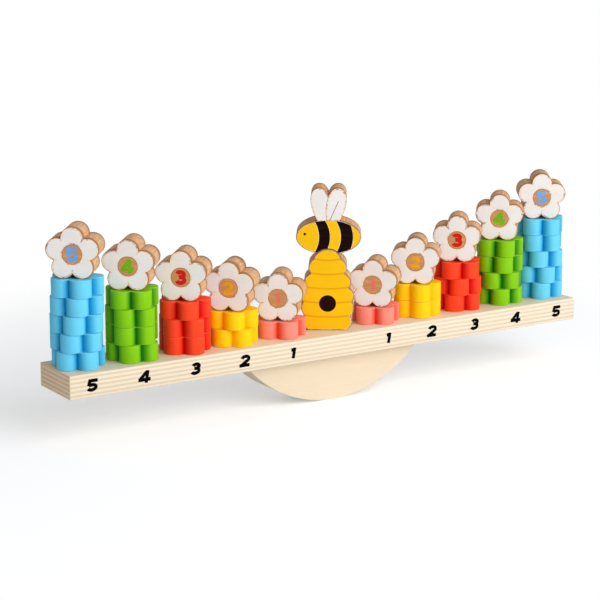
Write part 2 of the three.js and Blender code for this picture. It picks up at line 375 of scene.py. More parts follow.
def pen_line(path, width):
    """Outline of a line of even width along a path."""
    points = [Vector(point) for point in path]
    legs = [(after - before).normalized() for before, after in zip(points, points[1:])]
    left, right = [], []
    for i, point in enumerate(points):
        first = legs[max(i - 1, 0)].orthogonal()
        second = legs[min(i, len(legs) - 1)].orthogonal()
        mitre = (first + second).normalized()
        side = mitre * (width / 2 / mitre.dot(first))
        left.append(point + side)
        right.append(point - side)
    return left + right[::-1]


def widdershins(outline):
    """The outline's points, running against the clock."""
    points = [Vector(point) for point in outline]
    area = sum(a.cross(b) for a, b in zip(points, points[1:] + points[:1]))
    return points if area > 0 else points[::-1]


def piece_of(mesh):
    """A new piece with that mesh."""
    piece = bpy.data.objects.new(mesh.name, mesh)
    bpy.context.collection.objects.link(piece)
    return piece


def cut_board(outlines, keep, bottom, top):
    """A flat piece between two heights. outlines are named flat shapes laid over each other, and
    keep says, from the names of the shapes over a spot, whether the piece has wood there."""
    names = list(outlines)
    points, shapes = [], []
    for outline in outlines.values():
        run = widdershins(outline)
        shapes.append(list(range(len(points), len(points) + len(run))))
        points += run
    spots, _, triangles, _, _, holders = delaunay_2d_cdt(points, [], shapes, INSIDE_ONLY, SAME_POINT)
    kept = [t for t, inside in zip(triangles, holders) if keep({names[i] for i in inside})]
    mesh = bpy.data.meshes.new("board")
    mesh.from_pydata([(spot.x, spot.y, bottom) for spot in spots], [], kept)
    piece = piece_of(mesh)
    pick(piece)
    bpy.ops.object.mode_set(mode="EDIT")
    bpy.ops.mesh.select_all(action="SELECT")
    bpy.ops.mesh.dissolve_limited(angle_limit=SAME_PLANE)
    bpy.ops.mesh.delete_loose()
    bpy.ops.mesh.select_all(action="SELECT")
    bpy.ops.mesh.extrude_region_move(TRANSFORM_OT_translate={"value": (0, 0, top - bottom)})
    bpy.ops.mesh.select_all(action="SELECT")
    bpy.ops.mesh.normals_make_consistent(inside=False)
    bpy.ops.object.mode_set(mode="OBJECT")
    return piece


def any_shape(over):
    """Wood wherever a shape lies."""
    return bool(over)


def number_board(number, height, stretch, slant, bottom, top):
    """A number cut from pen strokes, centred on the origin."""
    pen = STEM_WIDTH if number == 1 else PEN_WIDTH
    outlines = {}
    for i, path in enumerate(DIGIT_STROKES[number]):
        wide_path = [(x * stretch + slant * (y - 0.5), y - 0.5) for x, y in path]
        outlines[i] = [point * height for point in pen_line(wide_path, pen)]
    return cut_board(outlines, any_shape, bottom, top)


def standing(place, front):
    """Stands a flat piece upright: its up is +Z and its top side looks along front."""
    up = Vector((0, 0, 1))
    right = up.cross(front)
    turn = Matrix((right, up, front)).transposed().to_4x4()
    return Matrix.Translation(place) @ turn


def paint_group():
    """Satin paint on sanded wood, with a faint grain under it and paler rubbed edges."""
    inputs = {"Place": "Vector", "Paint": "Color", "Rubbed": "Float", "Streak": "Color", "Streaks": "Float"}
    tree, given, made = node_group("satin_paint", inputs, SURFACE_OUTPUTS)
    place = given["Place"]
    mottle = speckle(tree, place, (70, 70, 70), 3.0)
    grain = speckle(tree, place, (60, 1400, 700), 3.0)
    peel = speckle(tree, place, (1800, 1800, 1800), 1.0)
    shade = calc(tree, "MULTIPLY_ADD", mottle, MOTTLE_SHARE, 1 - MOTTLE_SHARE / 2)
    shade = calc(tree, "MULTIPLY_ADD", calc(tree, "SUBTRACT", grain, 0.5), GRAIN_UNDER_PAINT, shade)
    colour = put(tree, "VectorMath", {0: given["Paint"], "Scale": shade}, operation="SCALE").outputs[0]
    thin = calc(tree, "MULTIPLY", fade(tree, grain, 0.45, 0.75), given["Streaks"])
    colour = blend(tree, thin, colour, given["Streak"])
    worn = calc(tree, "MULTIPLY", given["Rubbed"], fade(tree, grain, 0.3, 0.7))
    colour = blend(tree, weaken(tree, worn, RUBBED_SHARE), colour, paint_mix(*RUBBED_PAINT))
    wire(tree, made["Color"], colour)
    rough(tree, made, mottle, least=0.42, most=0.58)
    relief = weaken(tree, grain, PAINT_GRAIN)
    wire(tree, made["Height"], calc(tree, "MULTIPLY_ADD", peel, PAINT_PEEL, relief))
    return tree


PAINT = paint_group()


def attribute(tree, name, output):
    """A value that a piece's own points carry."""
    return put(tree, "Attribute", {}, attribute_name=name).outputs[output]


def own_grain(tree):
    """A point's place on its piece, moved by its batch so that no two pieces share their grain."""
    batch = attribute(tree, "batch", "Fac")
    move = put(tree, "CombineXYZ", {"X": batch, "Y": batch, "Z": 0.0}).outputs["Vector"]
    place = attribute(tree, "cut_place", "Vector")
    return put(tree, "VectorMath", {0: place, 1: move}, operation="ADD").outputs[0]


def painted(name, colour, shade_colour=None, streak=None, gloss=PAINT_GLOSS):
    """Paint whose grain follows the piece. It may have a darker colour painted in as shade, and another
    where it is thin.
    """
    def inputs(tree):
        rubbed = attribute(tree, "rubbed", "Fac")
        paint = paint_mix(*colour)
        # Painted shade: the darker colour is blended in by each point's shade value, in a disc's valleys
        # and along one side of each petal.
        if shade_colour:
            painted_shade = fade(tree, attribute(tree, "painted_shade", "Fac"), 0.0, 1.0)
            paint = blend(tree, painted_shade, paint, paint_mix(*shade_colour))
        given = {"Place": own_grain(tree), "Paint": paint, "Rubbed": rubbed}
        if streak:
            given.update({"Streak": paint_mix(*streak), "Streaks": STREAK_SHARE})
        return given
    return surface(name, PAINT, inputs, gloss)


def mark(piece, name, values):
    """Gives each point of a piece a value that its material reads."""
    piece.data.attributes.new(name, "FLOAT", "POINT").data.foreach_set("value", values)


def mark_place(piece, batch):
    """Keeps each point's place on the piece as it was cut, and the piece's batch."""
    points = piece.data.vertices
    places = [part for point in points for part in point.co]
    piece.data.attributes.new("cut_place", "FLOAT_VECTOR", "POINT").data.foreach_set("vector", places)
    mark(piece, "batch", [batch] * len(points))


ink = painted("black_ink", INK, gloss=INK_GLOSS)
number_middle = (plank_low.z + plank_high.z) / 2
for side, direction in (("left", -1), ("right", 1)):
    for number in range(1, STATIONS + 1):
        digit = number_board(number, NUMBER_HEIGHT, NUMBER_STRETCH, NUMBER_SLANT, 0, INK_DEPTH)
        mark_place(digit, number * BATCH_STEP)
        station = NUMBER_SHIFT + direction * (FIRST_NUMBER + (number - 1) * NUMBER_PITCH)
        digit.data.transform(standing((station, plank_low.y, number_middle), Vector((0, -1, 0))))
        digit.data.materials.append(ink)
        finished(digit, f"plank_number_{side}{number}", "base", "plywood")

# Rocker: a half-round block sawn from thick plywood and sanded round, glued and dowelled under the plank.
# Its front and back are face veneers, and its curved underside shows the plies.
ROCKER_RADIUS = 0.090
ROCKER_SIDES = 360
ROCKER_EDGE = 0.0008
ROCKER_PLIES = 17

rocker_low, rocker_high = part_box("rocker")
deselect()
bpy.ops.mesh.primitive_cylinder_add(
    vertices=ROCKER_SIDES,
    radius=ROCKER_RADIUS,
    depth=rocker_high.y - rocker_low.y,
    location=(0, (rocker_low.y + rocker_high.y) / 2, ROCKER_RADIUS),
    rotation=(math.pi / 2, 0, 0),
)
rocker = bpy.context.object
keep_place()
bpy.ops.object.mode_set(mode="EDIT")
bpy.ops.mesh.select_all(action="SELECT")
bpy.ops.mesh.bisect(plane_co=(0, 0, rocker_high.z), plane_no=(0, 0, 1), clear_outer=True, use_fill=True)
bpy.ops.object.mode_set(mode="OBJECT")
ease(rocker, ROCKER_EDGE)
drill_sockets(rocker)
rocker.data.materials.append(plywood_sheet("rocker_plywood", rocker_low, rocker_high, "Y", ROCKER_PLIES))
smooth(rocker)
finished(rocker, "rocker_block", "base", "plywood", "rocker")

# Dowels: two fluted beech pins, glued into the plank and the rocker and hidden once the game is together.
# The flutes let the glue rise, and the ends are chamfered so that the pins start easily.
FLUTES = 14
FLUTE_POINTS = 4
FLUTE_DEPTH = 0.0003
DOWEL_CHAMFER = 0.0008
BEECH = (226, 182, 134)
BEECH_DARK = (176, 122, 76)
BEECH_GRAIN_SHARE = 0.35
BEECH_FLECK_SHARE = 0.4
BEECH_PALE_SHARE = 0.3


def beech_group():
    """Bare beech with short dark flecks. Place runs along the grain first."""
    tree, given, made = node_group("beech", {"Place": "Vector"}, SURFACE_OUTPUTS)
    place = given["Place"]
    fine = speckle(tree, place, (80, 1100, 1100), 4.0)
    flecks = fade(tree, speckle(tree, place, (500, 2600, 2600), 1.0), 0.62, 0.74)
    broad = speckle(tree, place, (20, 130, 130), 2.0)
    streaks = weaken(tree, fine, BEECH_GRAIN_SHARE)
    colour = blend(tree, streaks, paint_mix(*BEECH), paint_mix(*BEECH_DARK))
    colour = blend(tree, weaken(tree, flecks, BEECH_FLECK_SHARE), colour, paint_mix(*BEECH_DARK))
    colour = blend(tree, weaken(tree, broad, BEECH_PALE_SHARE), colour, paint_mix(*VENEER))
    wire(tree, made["Color"], colour)
    rough(tree, made, fine, least=0.5, most=0.7)
    wire(tree, made["Height"], weaken(tree, calc(tree, "SUBTRACT", fine, flecks), PORE_DEPTH))
    return tree


BEECH_WOOD = beech_group()


def upright_grain(tree):
    """Object coordinates with the grain running up the piece."""
    parts = put(tree, "SeparateXYZ", {"Vector": put(tree, "TexCoord", {}).outputs["Object"]}).outputs
    place = put(tree, "CombineXYZ", {"X": parts["Z"], "Y": parts["X"], "Z": parts["Y"]})
    return {"Place": place.outputs["Vector"]}


dowel_beech = surface("dowel_beech", BEECH_WOOD, upright_grain)
for name in ("dowel_left", "dowel_right"):
    low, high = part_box(name)
    radius = (high.x - low.x) / 2
    middle = (low + high) / 2
    deselect()
    bpy.ops.mesh.primitive_cylinder_add(
        vertices=FLUTE_POINTS * FLUTES,
        radius=radius,
        depth=high.z - low.z,
        location=middle,
    )
    dowel = bpy.context.object
    keep_place()
    ease(dowel, DOWEL_CHAMFER, 1)
    bpy.ops.object.mode_set(mode="EDIT")
    pin = bmesh.from_edit_mesh(dowel.data)
    for point in pin.verts:
        around = math.atan2(point.co.y - middle.y, point.co.x - middle.x)
        reach = math.hypot(point.co.y - middle.y, point.co.x - middle.x)
        drawn = reach - FLUTE_DEPTH * (1 - math.cos(FLUTES * around)) / 2
        point.co.x = middle.x + drawn * math.cos(around)
        point.co.y = middle.y + drawn * math.sin(around)
    bmesh.update_edit_mesh(dowel.data)
    bpy.ops.object.mode_set(mode="OBJECT")
    dowel.data.materials.append(dowel_beech)
    smooth(dowel)
    finished(dowel, "fluted_" + name, "base", "dowel_beech", name)

# Flower discs: flat wooden blanks with five round petals, sawn, sanded at the edges and painted all over.
# They lie loose on each other, one to five to a stack, each stack in one colour, with shade painted darker
# into the petals' valleys.
PETALS = 5
FLOWER_REACH = 0.0172
VALLEY_DEPTH = 0.00495
PETAL_STEPS = 32
DISC_EDGE = 0.0004
LIES_FLAT = 0.9
PLACE_DIGITS = 6
# The petals' arc, worked out from the flower's reach and the depth of its valleys.
VALLEY = math.pi / PETALS
VALLEY_REACH = FLOWER_REACH - VALLEY_DEPTH
PETAL_RADIUS = (
    FLOWER_REACH**2 + VALLEY_REACH**2 - 2 * FLOWER_REACH * VALLEY_REACH * math.cos(VALLEY)
) / (2 * (FLOWER_REACH - VALLEY_REACH * math.cos(VALLEY)))
PETAL_CENTRE = FLOWER_REACH - PETAL_RADIUS
# Shares of a petal's half that painted shade covers on either side of a valley, and of a rim that hands
# rub.
SHADE_AFTER_VALLEY = 0.7
SHADE_BEFORE_VALLEY = 0.4
RUBBED_FROM = 0.02
RUBBED_TO = 0.9
# For each number: its paint's name, its colour, and a darker colour painted in as shade in the valleys and
# along one side of each petal.
DISC_PAINTS = {
    1: ("pink", (254, 140, 124), (240, 72, 44)),
    2: ("yellow", (255, 206, 0), (253, 194, 0)),
    3: ("red", (252, 68, 32), (210, 4, 2)),
    4: ("green", (130, 198, 8), (24, 128, 4)),
    5: ("blue", (104, 205, 240), (6, 148, 204)),
}


def flower(inset, first=0.0):
    """The flower's outline, drawn in by inset, with a petal at the angle first."""
    round_reach = PETAL_RADIUS - inset
    points = []
    for step in range(PETALS * PETAL_STEPS):
        angle = 2 * math.pi * step / (PETALS * PETAL_STEPS)
        apart = (angle + VALLEY) % (2 * VALLEY) - VALLEY
        reach = PETAL_CENTRE * math.cos(apart)
        reach += math.sqrt(round_reach**2 - (PETAL_CENTRE * math.sin(apart)) ** 2)
        points.append((reach * math.cos(first + angle), reach * math.sin(first + angle)))
    return points


def mark_wear_and_shade(piece, low, high, rim):
    """Marks a disc's rims, where hands rub the paint, and the painted shade in its valleys and along one
    side of each petal.
    """
    rubbed, painted_shade = [], []
    for point in piece.data.vertices:
        distance = min(point.co.z - low, high - point.co.z)
        rubbed.append(1.0 if rim * RUBBED_FROM < distance < rim * RUBBED_TO else 0.0)
        # Painted shade: strongest at each valley, reaching further along the petal on one side than on the
        # other, and kept off the rims.
        around = math.atan2(point.co.y, point.co.x)
        from_valley = (around + VALLEY) % (2 * VALLEY) / VALLEY
        run = max(1.0 - from_valley / SHADE_AFTER_VALLEY, 1.0 - (2.0 - from_valley) / SHADE_BEFORE_VALLEY, 0.0)
        painted_shade.append(run if distance > rim * RUBBED_TO else 0.0)
    mark(piece, "rubbed", rubbed)
    mark(piece, "painted_shade", painted_shade)


# Steps of a rounded rim, as shares of its width: how far in and how far out of the face.
RIM_STEPS = ((0.08, 0.38), (0.21, 0.33), (0.33, 0.21), (0.38, 0.08))


def eased_board(outlines, keep, bottom, top, width):
    """A flat piece whose two faces have rounded rims."""
    piece = cut_board(outlines, keep, bottom + width, top - width)
    bpy.ops.object.mode_set(mode="EDIT")
    bpy.ops.mesh.select_mode(type="FACE")
    bpy.ops.mesh.select_all(action="DESELECT")
    sheet = bmesh.from_edit_mesh(piece.data)
    for face in sheet.faces:
        face.select = abs(face.normal.z) > LIES_FLAT
    bmesh.update_edit_mesh(piece.data)
    for inward, outward in RIM_STEPS:
        bpy.ops.mesh.inset(thickness=width * inward, depth=width * outward)
    bpy.ops.object.mode_set(mode="OBJECT")
    return piece


def copy_of(model, batch, place):
    """A copy of a model with its own mesh, grain and place."""
    piece = piece_of(model.data.copy())
    mark_place(piece, batch)
    piece.data.transform(place)
    return piece


def disc_place(node):
    """Where a disc lies and how it is turned: a petal's tip is its farthest point."""
    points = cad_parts[node].data.vertices
    corners = {(round(p.co.x, PLACE_DIGITS), round(p.co.y, PLACE_DIGITS)) for p in points}
    middle = sum((Vector(corner) for corner in corners), Vector((0, 0))) / len(corners)
    tip = max((Vector(corner) - middle for corner in corners), key=lambda reach: reach.length)
    lift = Matrix.Translation((middle.x, middle.y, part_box(node)[0].z))
    return lift @ Matrix.Rotation(math.atan2(tip.y, tip.x), 4, "Z")


disc_low, disc_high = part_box("disc_left1_1")
disc_thickness = disc_high.z - disc_low.z
disc = eased_board({"flower": flower(0)}, any_shape, 0, disc_thickness, DISC_EDGE)
mark_wear_and_shade(disc, 0, disc_thickness, DISC_EDGE)
smooth(disc)
made_discs = 0
for number, (paint_name, colour, shade_colour) in DISC_PAINTS.items():
    paint = painted(f"{paint_name}_paint", colour, shade_colour)
    for side in ("left", "right"):
        for level in range(1, number + 1):
            node = f"disc_{side}{number}_{level}"
            made_discs += 1
            piece = copy_of(disc, made_discs * BATCH_STEP, disc_place(node))
            piece.data.materials.append(paint)
            finished(piece, f"flower_{side}{number}_{level}", node, f"paint_{paint_name}", node)
bpy.data.objects.remove(disc)

# Number daisies: thick flowers cut by laser from a wooden board, so their sides are scorched at both faces.
# The faces have white painted petals inside a bare rim, and an engraved centre with a painted number.
SCORCHED_RIM = 0.00042
PETAL_INSET = 0.0013
PAINT_DEPTH = 0.00012
CENTRE_RADIUS = 0.0064
CENTRE_STEPS = 64
UP_PETAL = math.pi / 2
TOKEN_EDGE = 0.0003
TOP_REACH = 0.00001
# The engraved centre: its floor, the laser's lines across it, the dark ring and the pale one round it.
ENGRAVED_DEPTH = 0.00003
ENGRAVED_PITCH = 0.0006
ENGRAVED_WANDER = 1.2
SWEPT_DEPTH = 0.00004
RING_WIDTH = 0.0006
RING_SHARE = 0.55
PALE_RING = 0.0008
# The scorched sides: depths from the face, and the factors that stretch them unevenly round a piece.
SCORCH_FULL = 0.0017
SCORCH_END = 0.00442
SCORCH_RAGGED = 0.0034
WARMED_DEPTH = 0.006
SCORCH_LEAST = 1.9
SCORCH_MOST = 0.1
# How strongly each mark of the cut wood shows, and how much of each bare or engraved place is burnt.
SCORCH_SHARE = 0.66
WARMED_SHARE = 0.3
LINE_SHARE = 0.64
FLECK_SHARE = 0.7
LASER_PALE_SHARE = 0.35
SPECK_SHARE = 0.8
SCORCHED_BURN = 0.95
BARE_BURN = 0.35
CENTRE_BURN = 0.5
NUMBER_BURN = 0.36
LASER_GLOSS = 0.2
ENGRAVED_GLOSS = 0.1
WHITE_PAINT = (237, 233, 230)
SCORCH = (124, 70, 40)
LASER_WOOD = (234, 188, 142)
LASER_WOOD_DARK = (180, 120, 74)
BARE_RIM = (252, 228, 204)
ENGRAVED = (216, 160, 106)
# For each number: its paint and its height.
DAISY_NUMBERS = {
    1: ((244, 126, 110), 0.0078),
    2: ((246, 176, 12), 0.0080),
    3: ((216, 22, 18), 0.0096),
    4: ((120, 186, 22), 0.0090),
    5: ((122, 174, 226), 0.0096),
}


def laser_wood_group():
    """Laser-cut wood. Depth is the distance from the nearer face, where the beam has scorched the wood."""
    tree, given, made = node_group("laser_cut_wood", {"Place": "Vector", "Depth": "Float"}, SURFACE_OUTPUTS)
    place = given["Place"]
    lines = speckle(tree, place, (900, 900, 40), 3.0)
    broad = speckle(tree, place, (120, 120, 25), 2.0)
    flecks = fade(tree, speckle(tree, place, (1900, 1900, 260), 1.0), 0.6, 0.72)
    streaks = weaken(tree, fade(tree, lines, 0.33, 0.72), LINE_SHARE)
    colour = blend(tree, streaks, paint_mix(*LASER_WOOD), paint_mix(*LASER_WOOD_DARK))
    colour = blend(tree, weaken(tree, broad, LASER_PALE_SHARE), colour, paint_mix(*BEECH))
    colour = blend(tree, weaken(tree, flecks, FLECK_SHARE), colour, paint_mix(*LASER_WOOD_DARK))
    ragged = weaken(tree, calc(tree, "SUBTRACT", lines, 0.5), SCORCH_RAGGED)
    patches = {"Value": speckle(tree, place, (45, 45, 0)), "To Min": SCORCH_LEAST, "To Max": SCORCH_MOST}
    uneven = put(tree, "MapRange", patches).outputs["Result"]
    depth = calc(tree, "MULTIPLY", calc(tree, "ADD", given["Depth"], ragged), uneven)
    warmed = weaken(tree, fade(tree, depth, WARMED_DEPTH, 0.0), WARMED_SHARE)
    scorched = weaken(tree, fade(tree, depth, SCORCH_END, SCORCH_FULL), SCORCH_SHARE)
    colour = blend(tree, calc(tree, "MAXIMUM", warmed, scorched), colour, paint_mix(*SCORCH))
    wire(tree, made["Color"], colour)
    rough(tree, made, lines, least=0.5, most=0.7)
    wire(tree, made["Height"], weaken(tree, calc(tree, "SUBTRACT", lines, flecks), PORE_DEPTH))
    return tree


def rim_group():
    """A laser-cut face's bare rim: pale wood with scorched specks. Burn says how much is scorched."""
    tree, given, made = node_group("unpainted_rim", {"Place": "Vector", "Burn": "Float"}, SURFACE_OUTPUTS)
    specks = speckle(tree, given["Place"], (700, 700, 700), 2.0)
    patches = speckle(tree, given["Place"], (120, 120, 120), 1.0)
    burn = calc(tree, "SUBTRACT", calc(tree, "ADD", patches, given["Burn"]), 1.0)
    burnt = weaken(tree, fade(tree, calc(tree, "ADD", specks, burn), 0.3, 0.75), SPECK_SHARE)
    wire(tree, made["Color"], blend(tree, burnt, paint_mix(*BARE_RIM), paint_mix(*SCORCH)))
    rough(tree, made, specks, least=0.55, most=0.75)
    wire(tree, made["Height"], weaken(tree, burnt, -PORE_DEPTH))
    return tree


def engraved_group():
    """A place that a laser has swept line by line, with its own tint and a dark ring at its rim."""
    inputs = {"Place": "Vector", "Height": "Float", "Ring": "Float", "Tint": "Color", "Burn": "Float"}
    tree, given, made = node_group("engraved_wood", inputs, SURFACE_OUTPUTS)
    place = given["Place"]
    wander = weaken(tree, speckle(tree, place, (260, 260, 260)), ENGRAVED_WANDER)
    swept = calc(tree, "ADD", calc(tree, "DIVIDE", given["Height"], ENGRAVED_PITCH), wander)
    burnt = fade(tree, calc(tree, "PINGPONG", swept, 0.5), 0.12, 0.4)
    patchy = calc(tree, "MULTIPLY", burnt, fade(tree, speckle(tree, place, (150, 500, 500)), 0.25, 0.6))
    colour = blend(tree, calc(tree, "MULTIPLY", patchy, given["Burn"]), given["Tint"], paint_mix(*SCORCH))
    colour = blend(tree, weaken(tree, given["Ring"], RING_SHARE), colour, paint_mix(*SCORCH))
    wire(tree, made["Color"], colour)
    rough(tree, made, patchy, least=0.6, most=0.8)
    wire(tree, made["Height"], weaken(tree, burnt, -SWEPT_DEPTH))
    return tree


LASER = laser_wood_group()
RIM = rim_group()
ENGRAVING = engraved_group()


def laser_cut(name, half):
    """Laser-cut wood for the sides of a token of that half thickness."""
    def inputs(tree):
        through = put(tree, "SeparateXYZ", {"Vector": attribute(tree, "cut_place", "Vector")}).outputs["Z"]
        depth = calc(tree, "SUBTRACT", half, calc(tree, "ABSOLUTE", through))
        return {"Place": own_grain(tree), "Depth": depth}
    return surface(name, LASER, inputs, LASER_GLOSS)


def engraved(name, tint, burn):
    """Engraved wood inside the daisy's round centre."""
    def inputs(tree):
        place = attribute(tree, "cut_place", "Vector")
        parts = put(tree, "SeparateXYZ", {"Vector": place}).outputs
        flat = put(tree, "CombineXYZ", {"X": parts["X"], "Y": parts["Y"], "Z": 0.0}).outputs["Vector"]
        reach = put(tree, "VectorMath", {0: flat}, operation="LENGTH").outputs["Value"]
        ring = fade(tree, reach, CENTRE_RADIUS - RING_WIDTH, CENTRE_RADIUS - RING_WIDTH / 2)
        tinted = paint_mix(*tint)
        return {"Place": own_grain(tree), "Height": parts["Y"], "Ring": ring, "Tint": tinted, "Burn": burn}
    return surface(name, ENGRAVING, inputs, ENGRAVED_GLOSS)


def unpainted(name, burn):
    """A bare rim, scorched more or less."""
    return surface(name, RIM, lambda tree: {"Place": own_grain(tree), "Burn": burn}, LASER_GLOSS)


def circle(radius, middle=(0, 0), steps=CENTRE_STEPS):
    """Points of a circle."""
    turns = [2 * math.pi * step / steps for step in range(steps)]
    return [(middle[0] + radius * math.cos(t), middle[1] + radius * math.sin(t)) for t in turns]


def both_faces(piece, mirrored=False):
    """A flat piece made for the front face, and its twin on the back: turned round, or mirrored through."""
    twin = piece_of(piece.data.copy())
    if mirrored:
        twin.data.transform(Matrix.Scale(-1, 4, (0, 0, 1)))
        twin.data.flip_normals()
    else:
        twin.data.transform(Matrix.Rotation(math.pi, 4, "Y"))
    return [piece, twin]


def of_material(piece, material):
    """Gives a piece its finish."""
    piece.data.materials.append(material)
    return piece


def face_fields(shapes, half, fields, mirrored=False):
    """Thin fields on both faces of a token, each from its place among the shapes, thickness and finish."""
    pieces = []
    for keep, thickness, finish in fields:
        field = of_material(cut_board(shapes, keep, half, half + thickness), finish)
        pieces += both_faces(field, mirrored)
    return pieces


def joined(pieces):
    """Several pieces as one."""
    deselect()
    for piece in pieces:
        piece.select_set(True)
    bpy.context.view_layer.objects.active = pieces[0]
    bpy.ops.object.join()
    return pieces[0]


def token_place(node):
    """Where a token stands and which way it looks: its top edge runs from its front to its back."""
    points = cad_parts[node].data.vertices
    top = max(p.co.z for p in points)
    edge = {tuple(round(c, PLACE_DIGITS) for c in p.co) for p in points if top - p.co.z < TOP_REACH}
    front = Vector(min(edge, key=lambda corner: corner[1]))
    back = Vector(max(edge, key=lambda corner: corner[1]))
    return (front + back) / 2, (front - back).normalized(), (front - back).length / 2


def token_blank(outlines, keep, half):
    """A token's wood: scorched sides, bare faces and slightly rounded edges."""
    blank = eased_board(outlines, keep, -half, half, TOKEN_EDGE)
    blank.data.materials.append(token_wood)
    blank.data.materials.append(scorched_rim)
    for face in blank.data.polygons:
        face.material_index = 1 if abs(face.normal.z) > LIES_FLAT else 0
    smooth(blank)
    return blank


token_half = token_place("daisy_left1")[2]
token_wood = laser_cut("laser_cut_wood", token_half)
scorched_rim = unpainted("scorched_rim", SCORCHED_BURN)
bare_rim = unpainted("bare_rim", BARE_BURN)
white_paint = painted("white_paint", WHITE_PAINT)
engraved_centre = engraved("engraved_centre", ENGRAVED, CENTRE_BURN)

blank = token_blank({"flower": flower(0, UP_PETAL)}, any_shape, token_half)
petal_shapes = {
    "bare": flower(SCORCHED_RIM, UP_PETAL),
    "petals": flower(PETAL_INSET, UP_PETAL),
    "ring": circle(CENTRE_RADIUS + PALE_RING),
    "centre": circle(CENTRE_RADIUS),
}
daisy_fields = (
    (lambda over: over == {"bare"} or ("ring" in over and "centre" not in over), ENGRAVED_DEPTH, bare_rim),
    (lambda over: "petals" in over and "ring" not in over, PAINT_DEPTH, white_paint),
    (lambda over: "centre" in over, ENGRAVED_DEPTH, engraved_centre),
)
daisy = joined([blank] + face_fields(petal_shapes, token_half, daisy_fields))

made_daisies = 0
for number, (colour, height) in DAISY_NUMBERS.items():
    number_paint = engraved(f"number_paint_{number}", colour, NUMBER_BURN)
    for side in ("left", "right"):
        node = f"daisy_{side}{number}"
        top, front, half = token_place(node)
        made_daisies += 1
        digit = number_board(number, height, stretch=1, slant=0, bottom=half, top=half + PAINT_DEPTH)
        of_material(digit, number_paint)
        piece = joined([piece_of(daisy.data.copy())] + both_faces(digit))
        mark_place(piece, made_daisies * BATCH_STEP)
        piece.data.transform(standing(top - Vector((0, 0, FLOWER_REACH)), front))
        finished(piece, f"number_daisy_{side}{number}", node, "daisy_white", node)
bpy.data.objects.remove(daisy)

# Beehive: a thick token in the shape of a coiled straw hive, laser cut with a scalloped outline.
# Its faces are painted honey yellow, with engraved lines between the coils and a dark round door.
# Half widths of the foot and of each coil from the foot up.
HIVE_FOOT = 0.0128
HIVE_ROLLS = (0.0164, 0.0177, 0.0177, 0.0156, 0.0127)
HIVE_ROLL_HEIGHT = 0.0097
HIVE_CREASE = 0.0013
DOME_HALF_WIDTH = 0.0094
DOME_HEIGHT = 0.007
HIVE_STEPS = 20
HIVE_SCORCH = 0.0004
HIVE_RIM = 0.0008
COIL_LINE = 0.0011
COIL_SAG = 0.0013
DOOR_HEIGHT = 0.0184
DOOR_RADIUS = 0.0057
HIVE_BURN = 0.6
HONEY = (250, 194, 0)
COIL_PAINT = (236, 166, 0)
DOOR_BROWN = (36, 12, 10)

hive_height = len(HIVE_ROLLS) * HIVE_ROLL_HEIGHT + DOME_HEIGHT
dome_radius = (DOME_HALF_WIDTH**2 + DOME_HEIGHT**2) / (2 * DOME_HEIGHT)
hive_creases = [HIVE_FOOT]
hive_creases += [min(pair) - HIVE_CREASE for pair in zip(HIVE_ROLLS, HIVE_ROLLS[1:])]
hive_creases += [DOME_HALF_WIDTH]


def hive_outline(inset):
    """The hive's outline, drawn in by inset: half-round coils from the foot up, then the dome."""
    side = []
    for roll, reach in enumerate(HIVE_ROLLS):
        below, above = hive_creases[roll], hive_creases[roll + 1]
        pull = 2 * reach - (below + above) / 2
        for step in range(HIVE_STEPS):
            t = step / HIVE_STEPS
            out = (1 - t) ** 2 * below + 2 * t * (1 - t) * pull + t**2 * above
            height = (roll + t) * HIVE_ROLL_HEIGHT
            side.append((out - inset, max(height, inset)))
    middle = hive_height - dome_radius
    half_turn = math.atan2(DOME_HALF_WIDTH, dome_radius - DOME_HEIGHT)
    dome = []
    for step in range(2 * HIVE_STEPS + 1):
        turn = half_turn * (1 - step / HIVE_STEPS)
        reach = dome_radius - inset
        dome.append((reach * math.sin(turn), middle + reach * math.cos(turn)))
    return side + dome + [(-x, y) for x, y in reversed(side)]


def coil_lines():
    """Outlines of the curved lines between the coils, which sag in the middle."""
    lines = {}
    for i, reach in enumerate(hive_creases[1:], 1):
        path = []
        for step in range(HIVE_STEPS + 1):
            across = 2 * step / HIVE_STEPS - 1
            height = i * HIVE_ROLL_HEIGHT + COIL_SAG * (across**2 - 0.5)
            path.append((across * (reach + HIVE_RIM), height))
        lines[f"line{i}"] = pen_line(path, COIL_LINE)
    return lines


def has(over, kind):
    """Whether any shape of a kind lies over the spot."""
    return any(name.startswith(kind) for name in over)


def is_coil_line(over):
    return "panel" in over and "door" not in over and has(over, "line")


hive_top, hive_front, hive_half = token_place("hive")
hive_base = Vector((hive_top.x, hive_top.y, hive_top.z - hive_height))
honey_paint = painted("honey_paint", HONEY)
coil_paint = painted("coil_line_paint", COIL_PAINT)
door_paint = painted("door_stain", DOOR_BROWN, gloss=INK_GLOSS)
hive_rim = unpainted("hive_rim", HIVE_BURN)

hive_wood = token_blank({"hive": hive_outline(0)}, any_shape, hive_half)
hive_shapes = {
    "bare": hive_outline(HIVE_SCORCH),
    "panel": hive_outline(HIVE_RIM),
    "door": circle(DOOR_RADIUS, (0, DOOR_HEIGHT)),
    **coil_lines(),
}
hive_fields = (
    (lambda over: "bare" in over and "panel" not in over, ENGRAVED_DEPTH, hive_rim),
    (lambda over: over == {"bare", "panel"}, PAINT_DEPTH, honey_paint),
    (is_coil_line, ENGRAVED_DEPTH, coil_paint),
    (lambda over: "door" in over, ENGRAVED_DEPTH, door_paint),
)
hive = joined([hive_wood] + face_fields(hive_shapes, hive_half, hive_fields, mirrored=True))
mark_place(hive, 0.0)
hive.data.transform(standing(hive_base, hive_front))
finished(hive, "beehive", "hive", "honey_yellow", "hive")

